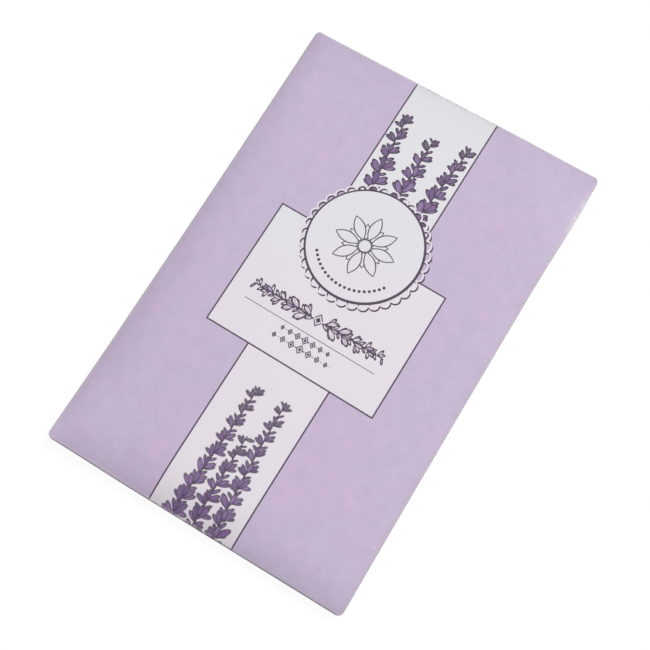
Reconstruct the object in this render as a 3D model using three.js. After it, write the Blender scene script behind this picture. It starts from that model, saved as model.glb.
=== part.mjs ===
// Scented sachet: a flat paper envelope folded from one die-cut blank, glued along a centre back
// seam and two end flaps, with a sealed nonwoven pouch of scented granules inside.
// Lengths are millimetres. +X is the width, +Y points to the closing flap, +Z is the printed front.
// The origin is under the middle of the sachet, on the surface that it lies on.

import * as THREE from 'three';

// Envelope
const envelopeWidth = 115; // side fold to side fold
const envelopeLength = 175; // end fold to end fold
const paperThickness = 0.2;
const cornerRadius = 1.8; // rounding of the front panel's four corners
const shoulderWidth = 18; // sloping zone inside every fold
const crownHeight = 2.4; // rise of the front above its folded edges
const restDepth = 3.0; // drop of the back below its folded edges

// Centre back seam
const seamLap = 12; // overlap of the two side panels
const joggleWidth = 3; // where the inner side panel steps over the edge of the outer one
const joggleClearance = 0.5;

// End flaps
const bottomFlapDepth = 22;
const topFlapDepth = 28;
const flapTaper = 5; // narrowing of each side of a flap, from its fold to its tip
const flapCornerRadius = 6;

// Glue
const glueThickness = 0.1;
const glueInset = 1.5; // bare paper between a glue strip and the paper's cut edge
const flapGlueWidth = 10;
const glueClearance = 0.02; // on both faces of a glue strip

// Inner pouch and its fill
const pouchMargin = 4.5; // envelope's fold line to the pouch's edge
const pouchSealWidth = 5;
const pouchSwellWidth = 12; // zone inside the seal where the plies part
const plyThickness = 0.15;
const plyClearance = 0.02; // between the sealed plies
const pouchClearance = 0.25; // between the swollen pouch and the envelope
const fillMargin = 3; // inner edge of the seal to the edge of the fill
const fillClearance = 0.05; // between the fill and the plies

// Shape of the crown, and how finely the sheets are divided
const domeShare = 0.15; // how much of the crown is a dome, and not a level top
const shoulderShares = [0.2, 0.45, 0.7, 1]; // stations from the corner rounding to the level top
const swellShares = [0.25, 0.5, 0.75, 1]; // stations across the pouch's swelling zone
const bendSteps = 6;
const cornerSteps = 4;
const flapCornerSteps = 4;
const crossSteps = 5; // across the level top
const lengthSteps = 8; // along the level top
const panelSteps = 2; // across the level part of a side panel

// Places in the stack of paper at the folded edges, from the lowest sheet up. The inner side panel
// has its place inside the lap, and shares the outer panel's outside it.
const stack = { flap: 0, outerPanel: 1, innerPanel: 2, front: 3 };

const layerPitch = paperThickness + glueThickness + 2 * glueClearance;
const sideBendRadius = (layerPitch * (stack.front - stack.outerPanel)) / 2;
const endBendRadius = (layerPitch * (stack.front - stack.flap)) / 2;

// Lines in the front panel where the round side bends and end bends start
const foldX = envelopeWidth / 2 - paperThickness / 2 - sideBendRadius;
const foldY = envelopeLength / 2 - paperThickness / 2 - endBendRadius;

function sum(a, b) {
  return a + b;
}

function evenSteps(start, end, count) {
  return Array.from({ length: count + 1 }, (_, i) => start + ((end - start) * i) / count);
}

// Straight interpolation through a table of stations and the values there.
function between(stations, values, at) {
  const last = stations.length - 1;
  if (at <= stations[0]) return values[0];
  if (at >= stations[last]) return values[last];
  const next = stations.findIndex((station) => station >= at);
  const share = (at - stations[next - 1]) / (stations[next] - stations[next - 1]);
  return values[next - 1] + share * (values[next] - values[next - 1]);
}

// A parabola that leaves its start at full slope and arrives level at 1.
function rise(share) {
  return 1 - (1 - share) ** 2;
}

// The shoulder inside a fold is folded in facets, and every sheet in the stack has the same ones,
// so the sheets and the glue between them lie at a constant distance.
const shoulderStations = [0, cornerRadius].concat(
  shoulderShares.map((share) => cornerRadius + share * (shoulderWidth - cornerRadius)),
);
const shoulderRises = shoulderStations.map((station) => rise(station / shoulderWidth));

function shoulderRise(distanceFromFold) {
  return between(shoulderStations, shoulderRises, distanceFromFold);
}

// 0 on the folds, 1 over the level middle.
function fullness(x, y) {
  return shoulderRise(foldX - Math.abs(x)) * shoulderRise(foldY - Math.abs(y));
}

// Middle of the paper of a sheet of the back.
function backHeight(layer, x, y) {
  return paperThickness / 2 + layer * layerPitch + restDepth * (1 - fullness(x, y));
}

// Middle of the paper of the front panel.
function frontHeight(x, y) {
  const edge = paperThickness / 2 + stack.front * layerPitch + restDepth;
  const dome = 1 - (domeShare * ((x / foldX) ** 2 + (y / foldY) ** 2)) / 2;
  return edge + crownHeight * fullness(x, y) * dome;
}

// The inner side panel lies in the outer panel's layer, and steps up a layer to pass over its edge.
const joggleEnd = -seamLap / 2 - joggleClearance;
const joggleStart = joggleEnd - joggleWidth;

function innerPanelHeight(x, y) {
  const layer = between([joggleStart, joggleEnd], [stack.outerPanel, stack.innerPanel], x);
  return backHeight(layer, x, y);
}

// Places a point of the flat blank in space. u runs across the front panel and out over the side
// folds, v runs along it and out over the end folds, and offset is towards the printed face.
function placeBlank(u, v, offset) {
  if (Math.abs(v) > foldY) return placeFlap(u, v, offset);
  if (Math.abs(u) > foldX) return placeSidePanel(u, v, offset);
  return [u, v, frontHeight(u, v) + offset];
}

function placeFlap(u, v, offset) {
  const side = Math.sign(v);
  const beyond = Math.abs(v) - foldY;
  if (beyond < Math.PI * endBendRadius) {
    const centre = backHeight(stack.flap, u, foldY) + endBendRadius;
    const [out, up] = onBend(beyond, endBendRadius, offset);
    return [u, side * (foldY + out), centre + up];
  }
  const y = side * (foldY - beyond + Math.PI * endBendRadius);
  return [u, y, backHeight(stack.flap, u, y) - offset];
}

function placeSidePanel(u, v, offset) {
  const side = Math.sign(u);
  const beyond = Math.abs(u) - foldX;
  if (beyond < Math.PI * sideBendRadius) {
    const centre = backHeight(stack.outerPanel, foldX, v) + sideBendRadius;
    const [out, up] = onBend(beyond, sideBendRadius, offset);
    return [side * (foldX + out), v, centre + up];
  }
  const x = side * (foldX - beyond + Math.PI * sideBendRadius);
  const height = side > 0 ? backHeight(stack.outerPanel, x, v) : innerPanelHeight(x, v);
  return [x, v, height - offset];
}

// How far out and up a point on a bend lies from the bend's centre.
function onBend(arcLength, radius, offset) {
  const angle = arcLength / radius;
  return [(radius + offset) * Math.sin(angle), (radius + offset) * Math.cos(angle)];
}

// A flat mesh of points and counter-clockwise triangles, with equal points shared.
class FlatMesh {
  constructor() {
    this.points = [];
    this.triangles = [];
    this.known = new Map();
  }

  point(u, v) {
    const key = `${u.toFixed(6)} ${v.toFixed(6)}`;
    if (!this.known.has(key)) this.known.set(key, this.points.push([u, v]) - 1);
    return this.known.get(key);
  }

  // Rows of points, each row with as many points as the next, joined by pairs of triangles.
  // The diagonals run from the middle of the sheet towards its corners.
  addRows(rows) {
    for (let j = 1; j < rows.length; j += 1) {
      for (let i = 1; i < rows[j].length; i += 1) {
        const corners = [rows[j - 1][i - 1], rows[j - 1][i], rows[j][i], rows[j][i - 1]];
        this.addCell(corners);
      }
    }
  }

  addCell(corners) {
    const [a, b, c, d] = corners.map(([u, v]) => this.point(u, v));
    const middleU = corners.map(([u]) => u).reduce(sum);
    const middleV = corners.map(([, v]) => v).reduce(sum);
    if (middleU * middleV > 0) this.triangles.push([a, b, c], [a, c, d]);
    else this.triangles.push([a, b, d], [b, c, d]);
  }

  addGrid(us, vs) {
    this.addRows(vs.map((v) => us.map((u) => [u, v])));
  }

  // Edges that only one triangle uses, in that triangle's direction.
  rim() {
    const edges = new Map();
    for (const [a, b, c] of this.triangles) {
      for (const [from, to] of [[a, b], [b, c], [c, a]]) {
        if (!edges.delete(`${to} ${from}`)) edges.set(`${from} ${to}`, [from, to]);
      }
    }
    return [...edges.values()];
  }
}

// Closed body between two placings of one flat mesh, with walls round its rim.
function bodyBetween(mesh, placeOuter, placeInner) {
  const count = mesh.points.length;
  const outer = mesh.points.map(([u, v]) => placeOuter(u, v));
  const inner = mesh.points.map(([u, v]) => placeInner(u, v));
  const faces = [];
  for (const [a, b, c] of mesh.triangles) {
    faces.push(a, b, c, count + a, count + c, count + b);
  }
  for (const [a, b] of mesh.rim()) {
    faces.push(a, count + a, count + b, a, count + b, b);
  }
  const geometry = new THREE.BufferGeometry();
  const positions = outer.concat(inner).flat();
  geometry.setAttribute('position', new THREE.Float32BufferAttribute(positions, 3));
  geometry.setIndex(faces);
  geometry.computeVertexNormals();
  return geometry;
}

// Stations from one fold to the other: the shoulder's facets and even steps between them.
function stationsAcross(fold, steps) {
  const near = shoulderStations.map((station) => station - fold);
  const level = evenSteps(shoulderWidth - fold, fold - shoulderWidth, steps).slice(1, -1);
  const far = near.map((station) => -station).reverse();
  return near.concat(level, far);
}

const frontColumns = stationsAcross(foldX, crossSteps);
const frontRows = stationsAcross(foldY, lengthSteps);
const bentColumns = frontColumns.slice(1, -1); // the end folds stop at the corner rounding
const bentRows = frontRows.slice(1, -1); // and so do the side folds

// The front panel is a grid whose four corner cells are quarter discs.
function addFrontPanel(blank) {
  const topRows = frontRows.slice(0, 2);
  blank.addGrid(frontColumns, bentRows);
  blank.addGrid(bentColumns, topRows);
  blank.addGrid(bentColumns, topRows.map((v) => -v).reverse());
  for (const [sideU, sideV] of [[1, 1], [-1, 1], [-1, -1], [1, -1]]) {
    addRoundCorner(blank, sideU, sideV);
  }
}

function addRoundCorner(blank, sideU, sideV) {
  const centre = [sideU * (foldX - cornerRadius), sideV * (foldY - cornerRadius)];
  const arc = evenSteps(0, Math.PI / 2, cornerSteps).map((angle) => [
    centre[0] + sideU * cornerRadius * Math.cos(angle),
    centre[1] + sideV * cornerRadius * Math.sin(angle),
  ]);
  if (sideU * sideV < 0) arc.reverse();
  for (let i = 1; i < arc.length; i += 1) {
    const fan = [centre, arc[i - 1], arc[i]].map(([u, v]) => blank.point(u, v));
    blank.triangles.push(fan);
  }
}

// A side panel runs from the front's edge round the side bend to its cut edge past the middle.
function addSidePanel(blank, side, levelStations) {
  const bend = evenSteps(0, Math.PI * sideBendRadius, bendSteps);
  const flat = shoulderStations.slice(1).concat(levelStations);
  const outward = bend.concat(flat.map((station) => Math.PI * sideBendRadius + station));
  const columns = outward.map((beyond) => side * (foldX + beyond));
  if (side < 0) columns.reverse();
  blank.addGrid(columns, bentRows);
}

// Distances from the fold to the joggle and to the cut edge of each side panel.
const panelReach = foldX + seamLap / 2;
const outerPanelStations = evenSteps(shoulderWidth, panelReach, panelSteps).slice(1);
const innerPanelStations = evenSteps(shoulderWidth, foldX + joggleStart, panelSteps)
  .slice(1)
  .concat(foldX + joggleEnd, panelReach);

// Width of a flap at a distance from its fold, as a share of its width at the fold: a straight
// taper with a rounded tip.
function flapWidthShare(depth, distance) {
  const root = foldX - cornerRadius;
  const straight = root - (flapTaper * distance) / depth;
  const intoCorner = Math.max(0, distance - (depth - flapCornerRadius));
  const rounded = flapCornerRadius - Math.sqrt(flapCornerRadius ** 2 - intoCorner ** 2);
  return (straight - rounded) / root;
}

function addFlap(blank, side, depth) {
  const bend = evenSteps(0, Math.PI * endBendRadius, bendSteps);
  const rows = bend.map((beyond) => bentColumns.map((u) => [u, side * (foldY + beyond)]));
  for (const distance of flapStations(depth).slice(1)) {
    const share = flapWidthShare(depth, distance);
    const v = side * (foldY + Math.PI * endBendRadius + distance);
    rows.push(bentColumns.map((u) => [u * share, v]));
  }
  if (side < 0) rows.reverse();
  blank.addRows(rows);
}

// Distances from the fold: the shoulder's facets, then the steps round the corners of the tip.
function flapStations(depth) {
  const cornerStart = depth - flapCornerRadius;
  const angles = evenSteps(0, Math.PI / 2, flapCornerSteps);
  const round = angles.map((angle) => cornerStart + flapCornerRadius * Math.sin(angle));
  return shoulderStations.filter((station) => station < cornerStart).concat(round);
}

function envelopeGeometry() {
  const blank = new FlatMesh();
  addFrontPanel(blank);
  addSidePanel(blank, 1, outerPanelStations);
  addSidePanel(blank, -1, innerPanelStations);
  addFlap(blank, -1, bottomFlapDepth);
  addFlap(blank, 1, topFlapDepth);
  const printed = (u, v) => placeBlank(u, v, paperThickness / 2);
  const plain = (u, v) => placeBlank(u, v, -paperThickness / 2);
  return bodyBetween(blank, printed, plain);
}

// A level grid between two height functions.
function slabGeometry(columns, rows, upper, lower) {
  const grid = new FlatMesh();
  grid.addGrid(columns, rows);
  return bodyBetween(grid, (x, y) => [x, y, upper(x, y)], (x, y) => [x, y, lower(x, y)]);
}

// A glue strip fills the space between a sheet and the one above it, less a clearance on each face.
function glueGeometry(columns, rows, layerBelow) {
  const middle = (x, y) => backHeight(layerBelow, x, y) + layerPitch / 2;
  const upper = (x, y) => middle(x, y) + glueThickness / 2;
  const lower = (x, y) => middle(x, y) - glueThickness / 2;
  return slabGeometry(columns, rows, upper, lower);
}

function centreSeamGlueGeometry() {
  const halfWidth = seamLap / 2 - glueInset;
  const halfLength = foldY - cornerRadius - glueInset;
  const inside = bentRows.filter((row) => Math.abs(row) < halfLength);
  const rows = [-halfLength, ...inside, halfLength];
  return glueGeometry([-halfWidth, 0, halfWidth], rows, stack.outerPanel);
}

// The strip stays on the level middle of the flap's tip, and follows the shoulder's facets
// lengthwise.
function flapGlueGeometry(side, depth) {
  const far = depth - glueInset;
  const near = far - flapGlueWidth;
  const inside = flapStations(depth).filter((station) => station > near && station < far);
  const rows = [near, ...inside, far].map((distance) => side * (foldY - distance));
  const halfWidth = (foldX - shoulderWidth) * flapWidthShare(depth, depth);
  const columns = evenSteps(-halfWidth, halfWidth, crossSteps);
  return glueGeometry(columns, side > 0 ? rows.reverse() : rows, stack.flap);
}

// Distances from the pouch's edge, and how far the plies have parted there.
const pouchStations = [0, pouchSealWidth].concat(
  swellShares.map((share) => pouchSealWidth + share * pouchSwellWidth),
);
const pouchSwells = [0, 0].concat(swellShares.map(rise));
const pouchHalfWidth = foldX - pouchMargin;
const pouchHalfLength = foldY - pouchMargin;

// The pouch lies midway between the front panel and the seam's upper sheet. Its swell is the
// half thickness: two plies at the seal, and what the envelope leaves free over the middle.
function pouchMiddle(x, y) {
  return (frontHeight(x, y) + backHeight(stack.innerPanel, x, y)) / 2;
}

function pouchSwell(x, y) {
  const sheets = frontHeight(x, y) - backHeight(stack.innerPanel, x, y);
  const room = (sheets - paperThickness) / 2 - pouchClearance;
  const sealed = plyThickness + plyClearance / 2;
  const inside = Math.min(pouchHalfWidth - Math.abs(x), pouchHalfLength - Math.abs(y));
  return sealed + Math.max(0, room - sealed) * between(pouchStations, pouchSwells, inside);
}

function pouchStationsAcross(half, steps, firstStation) {
  const near = pouchStations.filter((station) => station > firstStation);
  const edge = [firstStation, ...near].map((station) => station - half);
  const levelHalf = -edge[edge.length - 1];
  const level = evenSteps(-levelHalf, levelHalf, steps).slice(1, -1);
  return edge.concat(level, edge.map((station) => -station).reverse());
}

function plyGeometry(side) {
  const columns = pouchStationsAcross(pouchHalfWidth, crossSteps, 0);
  const rows = pouchStationsAcross(pouchHalfLength, lengthSteps, 0);
  const outer = (x, y) => pouchMiddle(x, y) + side * pouchSwell(x, y);
  const inner = (x, y) => outer(x, y) - side * plyThickness;
  return side > 0
    ? slabGeometry(columns, rows, outer, inner)
    : slabGeometry(columns, rows, inner, outer);
}

function fillGeometry() {
  const edge = pouchSealWidth + fillMargin;
  const columns = pouchStationsAcross(pouchHalfWidth, crossSteps, edge);
  const rows = pouchStationsAcross(pouchHalfLength, lengthSteps, edge);
  const half = (x, y) => pouchSwell(x, y) - plyThickness - fillClearance;
  const upper = (x, y) => pouchMiddle(x, y) + half(x, y);
  const lower = (x, y) => pouchMiddle(x, y) - half(x, y);
  return slabGeometry(columns, rows, upper, lower);
}

// Finishes
const printedPaper = { color: 0xc9bad6, roughness: 0.6, metalness: 0 };
const clearGlue = { color: 0xe8e2cf, roughness: 0.35, metalness: 0 };
const nonwoven = { color: 0xf1efea, roughness: 0.9, metalness: 0 };
const granules = { color: 0xb39a6b, roughness: 0.95, metalness: 0 };

function piece(name, geometry, finish) {
  const mesh = new THREE.Mesh(geometry, new THREE.MeshStandardMaterial(finish));
  mesh.name = name;
  return mesh;
}

const foldedPaper = new THREE.Group();
foldedPaper.add(
  piece('envelope', envelopeGeometry(), printedPaper),
  piece('centre_seam_glue', centreSeamGlueGeometry(), clearGlue),
  piece('bottom_flap_glue', flapGlueGeometry(-1, bottomFlapDepth), clearGlue),
  piece('top_flap_glue', flapGlueGeometry(1, topFlapDepth), clearGlue),
);

const innerPouch = new THREE.Group();
innerPouch.add(
  piece('inner_pouch_front_ply', plyGeometry(1), nonwoven),
  piece('inner_pouch_back_ply', plyGeometry(-1), nonwoven),
  piece('granule_fill', fillGeometry(), granules),
);

const sachet = new THREE.Group();
sachet.add(foldedPaper, innerPouch);

export default sachet;
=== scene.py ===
"""Scented paper sachet: its looks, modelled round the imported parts.

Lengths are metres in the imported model's frame: +X across the width, +Y towards the closing flap,
+Z out of the printed front. The print is laid out in millimetres on the flat paper blank.
"""

import math
from functools import cache, partialmethod

import bpy
import numpy as np
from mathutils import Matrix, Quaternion, Vector


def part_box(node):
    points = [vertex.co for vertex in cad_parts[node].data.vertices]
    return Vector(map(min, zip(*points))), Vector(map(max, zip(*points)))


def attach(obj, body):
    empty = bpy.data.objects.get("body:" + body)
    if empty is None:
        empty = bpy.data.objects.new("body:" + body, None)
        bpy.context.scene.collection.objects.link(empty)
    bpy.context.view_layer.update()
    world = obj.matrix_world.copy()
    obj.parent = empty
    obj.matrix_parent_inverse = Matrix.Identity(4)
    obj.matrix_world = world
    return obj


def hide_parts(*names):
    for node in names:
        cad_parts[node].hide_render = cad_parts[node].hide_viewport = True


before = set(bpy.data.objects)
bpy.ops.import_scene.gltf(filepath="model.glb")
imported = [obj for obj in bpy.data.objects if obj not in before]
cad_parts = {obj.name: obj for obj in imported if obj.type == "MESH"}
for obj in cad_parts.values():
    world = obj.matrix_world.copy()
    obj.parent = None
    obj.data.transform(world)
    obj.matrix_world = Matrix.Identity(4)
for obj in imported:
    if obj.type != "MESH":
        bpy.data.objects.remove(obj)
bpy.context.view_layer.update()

bl_info = {
    "name": "Scented Paper Sachet",
    "version": (1, 0, 0),
    "blender": (4, 5, 0),
    "location": "3D View > Sidebar > Sachet",
    "description": "Models a folded paper sachet with its print, glue, pouch and granules",
    "category": "Add Mesh",
}

MM = 0.001


def length(name, description, millimetres):
    """A length property whose default is given in millimetres."""
    return bpy.props.FloatProperty(
        name=name, description=description, default=millimetres * MM, unit="LENGTH", precision=5
    )


def share(name, description, default):
    """A property between 0 and 1."""
    return bpy.props.FloatProperty(
        name=name, description=description, default=default, min=0, max=1, subtype="FACTOR"
    )


def number(name, description, default):
    """A plain number, such as a place on the print in millimetres."""
    return bpy.props.FloatProperty(name=name, description=description, default=default)


def colour(name, description, *screen):
    """A colour property whose default is given as a screen colour from 0 to 255."""
    default = [linear(part / 255) for part in screen] + [1]
    return bpy.props.FloatVectorProperty(
        name=name, description=description, default=default, size=4, min=0, max=1, subtype="COLOR"
    )


def linear(value):
    """A screen colour's part as linear light."""
    return value / 12.92 if value <= 0.04045 else ((value + 0.055) / 1.055) ** 2.4


class SachetSizes(bpy.types.PropertyGroup):
    """Real sizes of the paper, the glue, the pouch and the fill."""

    paper: length("Paper", "Thickness of the envelope's paper", 0.2)
    corner: length("Corner", "Rounding of the front panel's corners", 1.8)
    shoulder: length("Shoulder", "Sloping zone inside the folds, behind", 18)
    left_shoulder: length("Left shoulder", "Sloping zone of the front at the left", 18)
    right_shoulder: length("Right shoulder", "Sloping zone of the front at the right", 75)
    bottom_shoulder: length("Bottom shoulder", "Sloping zone of the front at the bottom", 22)
    top_shoulder: length("Top shoulder", "Sloping zone of the front at the top", 130)
    rest_depth: length("Rest depth", "Drop of the back below the folded edges", 3)
    fine_cell: length("Fine cell", "Mesh cell at the folds", 0.6)
    cell: length("Cell", "Mesh cell over the level middle", 1.5)
    seam_lap: length("Seam lap", "Overlap of the two side panels", 12)
    joggle: length("Joggle", "Zone where the inner side panel steps up a layer", 3)
    joggle_clearance: length("Joggle clearance", "Between the step and the lap", 0.5)
    bottom_flap: length("Bottom flap", "Depth of the bottom flap", 22)
    top_flap: length("Top flap", "Depth of the closing flap", 28)
    flap_taper: length("Flap taper", "Narrowing of each side of a flap", 5)
    flap_corner: length("Flap corner", "Rounding of a flap's tip", 6)
    crease: length("Crease", "Reach of a fold beyond its line, near the corners", 0.2)
    crease_zone: length("Crease zone", "Length over which a fold sharpens", 7)
    left_bow: length("Left bow", "How far the left edge is drawn in", 0.35)
    right_bow: length("Right bow", "How far the right edge is drawn in", 0.28)
    bulge: length("Bulge", "Of the right edge below the top corner", 0.5)
    bulge_place: length("Bulge place", "From the top fold to the bulge's middle", 17)
    bulge_width: length("Bulge width", "Half the length of the bulge", 18)
    corner_rise: length("Corner rise", "Lift of the bottom left corner", 1.1)
    corner_draw: length("Corner draw", "How far that corner is drawn in", 0.3)
    corner_droop: length("Corner droop", "Fall of the top right corner", 0.8)
    corner_reach: length("Corner reach", "From a bent corner to the level sachet", 26)
    glue: length("Glue", "Thickness of the glue strips", 0.1)
    glue_clearance: length("Glue clearance", "On both faces of a glue strip", 0.02)
    glue_inset: length("Glue inset", "Bare paper between glue and cut edge", 1.5)
    flap_glue: length("Flap glue", "Width of a flap's glue strip", 10)
    pouch_margin: length("Pouch margin", "From the fold line to the pouch's edge", 4.5)
    pouch_seal: length("Pouch seal", "Width of the welded seal round the pouch", 5)
    pouch_swell: length("Pouch swell", "Zone inside the seal where the plies part", 12)
    ply: length("Ply", "Thickness of a nonwoven ply", 0.15)
    ply_clearance: length("Ply clearance", "Between the sealed plies", 0.02)
    pouch_clearance: length("Pouch clearance", "Between the pouch and the envelope", 0.25)
    fill_margin: length("Fill margin", "From the seal to the edge of the granules", 3)
    fill_clearance: length("Fill clearance", "Between the granules and the plies", 0.05)
    granule: length("Granule", "Size of a scented granule", 2.4)
    pucker: share("Pucker", "How much of the simulated swelling the paper takes", 0.14)


class SachetPrint(bpy.types.PropertyGroup):
    """Layout of the print on the front, in millimetres from the middle of the front."""

    band_middle: number("Band middle", "Middle of the white band", 0.34)
    band_half: number("Band half width", "Half the width of the white band", 16.18)
    band_lean: number("Band lean", "Sideways drift of the band per millimetre", 0.0064)
    band_widening: number("Band widening", "Growth of the half width per millimetre", 0.0012)
    label_x: number("Label X", "Middle of the label", 0.21)
    label_y: number("Label Y", "Middle of the label", -1.665)
    label_half_width: number("Label half width", "Half the label's width", 32.945)
    label_half_height: number("Label half height", "Half the label's height", 24.31)
    label_drop: number("Label drop", "Fall of the label's level lines per millimetre", 0.0178)
    label_lean: number("Label lean", "Drift of the label's upright lines per millimetre", 0.0053)
    ring_x: number("Ring X", "Middle of the round medallion", 0.05)
    ring_y: number("Ring Y", "Middle of the round medallion", 24.25)
    ring_radius: number("Ring radius", "Radius of the medallion's white disc", 20.4)
    ring_ink: number("Ring ink", "Mean width of the dark ring", 0.8)
    ring_shift: number("Ring shift", "How far the dark ring is printed down and right", 0.2)
    scallops: number("Scallops", "Number of scallops round the medallion", 35)
    line: number("Line", "Width of the printed lines", 0.54)


class SachetColours(bpy.types.PropertyGroup):
    """Colours of the print, the papers, the glue and the fill."""

    lilac: colour("Lilac", "Printed ground", 205, 188, 215)
    lilac_rosy: colour("Rosy lilac", "Warmer clouds of the ground", 216, 184, 220)
    lilac_blue: colour("Bluish lilac", "Cooler clouds of the ground", 192, 192, 215)
    white: colour("White", "Printed white of the band and label", 232, 222, 231)
    white_cool: colour("Cool white", "Cooler clouds of the white", 226, 226, 231)
    ink: colour("Ink", "Lines of the print", 74, 62, 81)
    bud_light: colour("Light bud", "Lighter printed buds", 156, 129, 174)
    bud_dark: colour("Dark bud", "Darker printed buds", 108, 82, 128)
    bud_tip: colour("Bud tip", "Greyer buds at a spray's tip", 118, 106, 124)
    leaf: colour("Leaf", "Printed stems and bud outlines", 74, 62, 80)
    core: colour("Core", "Bare paper inside and at the cut edges", 238, 236, 232)
    # Grey of print rubbed thin along the folds, darkened also as painted shade of the bends:
    # partly wear, partly painted shade
    worn_and_shaded: colour("Worn", "Print rubbed off along the folds", 190, 183, 190)
    glue: colour("Glue", "Dried glue", 232, 226, 207)
    cloth: colour("Nonwoven", "Porous cloth of the pouch", 241, 239, 234)
    grain_light: colour("Light granule", "Paler granules", 214, 198, 160)
    grain_dark: colour("Dark granule", "Darker granules", 148, 122, 80)


# Shape of the swollen envelope


def rise(step):
    """A parabola that leaves its start at full slope and arrives level at 1."""
    return 1 - (1 - np.clip(step, 0, 1)) ** 2


def smooth(step):
    """An even S from 0 to 1."""
    step = np.clip(step, 0, 1)
    return step * step * (3 - 2 * step)


class Form:
    """Heights and folds of the sachet's sheets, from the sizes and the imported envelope.

    Axis 0 runs across the sachet, out over the side folds, and axis 1 along it, out over the end
    folds.
    """

    SEED = 5
    BAG_CELL = 2 * MM
    START_SHARE = 0.3  # of the full height, at the simulation's start
    FRAMES = 20
    RIPPLE = 0.06 * MM
    RIPPLE_WAVES = 40
    CRIMP = 0.06 * MM  # of the pouch plies, between seal and level middle
    CRIMP_PACE = 700, 650  # radians per metre, across and along
    DRAWN_ZONE = 12 * MM  # inside the long edges, where the full sachet draws them in

    def __init__(self, sizes):
        self.sizes = sizes
        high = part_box("envelope")[1]
        self.pitch = sizes.paper + sizes.glue + 2 * sizes.glue_clearance
        self.bends = self.pitch, 1.5 * self.pitch
        self.arcs = [math.pi * bend for bend in self.bends]
        self.folds = [far - sizes.paper / 2 - bend for far, bend in zip(high, self.bends)]
        self.fold_x, self.fold_y = self.folds
        self.edge = sizes.paper / 2 + 3 * self.pitch + sizes.rest_depth
        self.crown = high.z - sizes.paper / 2 - self.edge
        self.panel_reach = self.fold_x + sizes.seam_lap / 2
        self.bag = [
            np.linspace(-fold, fold, int(round(2 * fold / self.BAG_CELL)) + 1)
            for fold in self.folds
        ]
        self.upper, self.lower = self.swollen()

    def fullness(self, x, y):
        """Of the back: 0 on the folds, 1 over the level middle."""
        width = self.sizes.shoulder
        return rise((self.fold_x - abs(x)) / width) * rise((self.fold_y - abs(y)) / width)

    def front_fullness(self, x, y):
        """Of the front, which rises steeply at the left and bottom, where the fill has settled,
        and gently at the right and top."""
        sizes = self.sizes
        full = 1.0
        for distance_in, shoulder, power in (
            (self.fold_x + x, sizes.left_shoulder, 3),
            (self.fold_x - x, sizes.right_shoulder, 1.3),
            (self.fold_y + y, sizes.bottom_shoulder, 3),
            (self.fold_y - y, sizes.top_shoulder, 1.15),
        ):
            full = full * (1 - np.clip(1 - distance_in / shoulder, 0, 1) ** power)
        return full

    def swollen(self):
        """Heights of the front above the folds and of the back below them, on the bag's grid."""
        x, y = np.meshgrid(*self.bag, indexing="ij")
        full, front = self.fullness(x, y), self.front_fullness(x, y)
        limits = self.crown, self.sizes.rest_depth
        heights = [self.crown * front / front.max(), -self.sizes.rest_depth * full]
        for height, blown, limit in zip(heights, self.simulated(x, y, full), limits):
            height += self.sizes.pucker * (capped(blown, limit) - height)
        return heights

    def simulated(self, x, y, full):
        """Blows a flat closed bag up as cloth, and gives its upper and lower heights."""
        unevenness = full * self.ripples(x, y)
        bag = add_skin("bag", *self.bag)
        close_skin(bag, *(
            (self.START_SHARE * depth * full + unevenness).T.ravel()
            for depth in (self.crown, -self.sizes.rest_depth)
        ))
        before = vertex_places(bag)
        self.blow_up(bag)
        after = vertex_places(bag)
        column, row = (
            np.rint((before[:, axis] + self.folds[axis]) / (lines[1] - lines[0])).astype(int)
            for axis, lines in enumerate(self.bag)
        )
        fields = []
        for side in (1, -1):
            chosen = before[:, 2] * side >= 0
            field = np.zeros(x.shape)
            field[column[chosen], row[chosen]] = after[chosen, 2]
            fields.append(field)
        bpy.data.objects.remove(bag)
        return fields

    def blow_up(self, bag):
        """Runs the cloth, and leaves its result in the mesh."""
        cloth = bag.modifiers.new("Cloth", "CLOTH")
        settings = cloth.settings
        settings.quality = 6
        settings.mass = 0.05
        settings.tension_stiffness = settings.compression_stiffness = 200
        settings.shear_stiffness = 100
        settings.bending_stiffness = 10
        settings.use_pressure = True
        settings.uniform_pressure_force = 4
        settings.effector_weights.gravity = 0
        cloth.point_cache.frame_start = 1
        cloth.point_cache.frame_end = self.FRAMES
        scene = bpy.context.scene
        for step in range(1, self.FRAMES + 1):
            scene.frame_set(step)
        apply_modifiers(bag)
        scene.frame_set(1)

    def ripples(self, x, y):
        """Soft seeded unevenness."""
        draw = np.random.default_rng(self.SEED)
        total = np.zeros_like(x)
        for _ in range(self.RIPPLE_WAVES):
            pace = draw.uniform(30, 180, 2) * draw.choice([-1, 1], 2)
            total += np.sin(pace[0] * x + pace[1] * y + draw.uniform(0, 2 * math.pi))
        return total * self.RIPPLE / total.std()

    def on_bag(self, field, x, y):
        """Smooth reading of a field on the bag's grid, with the bent corners."""
        return read_smoothly(field, x / self.fold_x, y / self.fold_y) + self.bent(x, y)

    def bent(self, x, y):
        """Rise of the bottom left corner and droop of the top right one, from handling."""
        total = np.zeros(np.shape(x))
        for side, rise_there in ((-1, self.sizes.corner_rise), (1, -self.sizes.corner_droop)):
            from_corner = (self.fold_x + self.fold_y - side * (x + y)) / math.sqrt(2)
            total = total + rise_there * (1 - smooth(from_corner / self.sizes.corner_reach))
        return total

    def front(self, x, y):
        """Middle of the front panel's paper."""
        return self.edge + self.on_bag(self.upper, x, y)

    def back(self, layer, x, y):
        """Middle of the paper of a sheet of the back, layer 0 lowest."""
        level = self.sizes.paper / 2 + layer * self.pitch + self.sizes.rest_depth
        return level + self.on_bag(self.lower, x, y)

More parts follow.
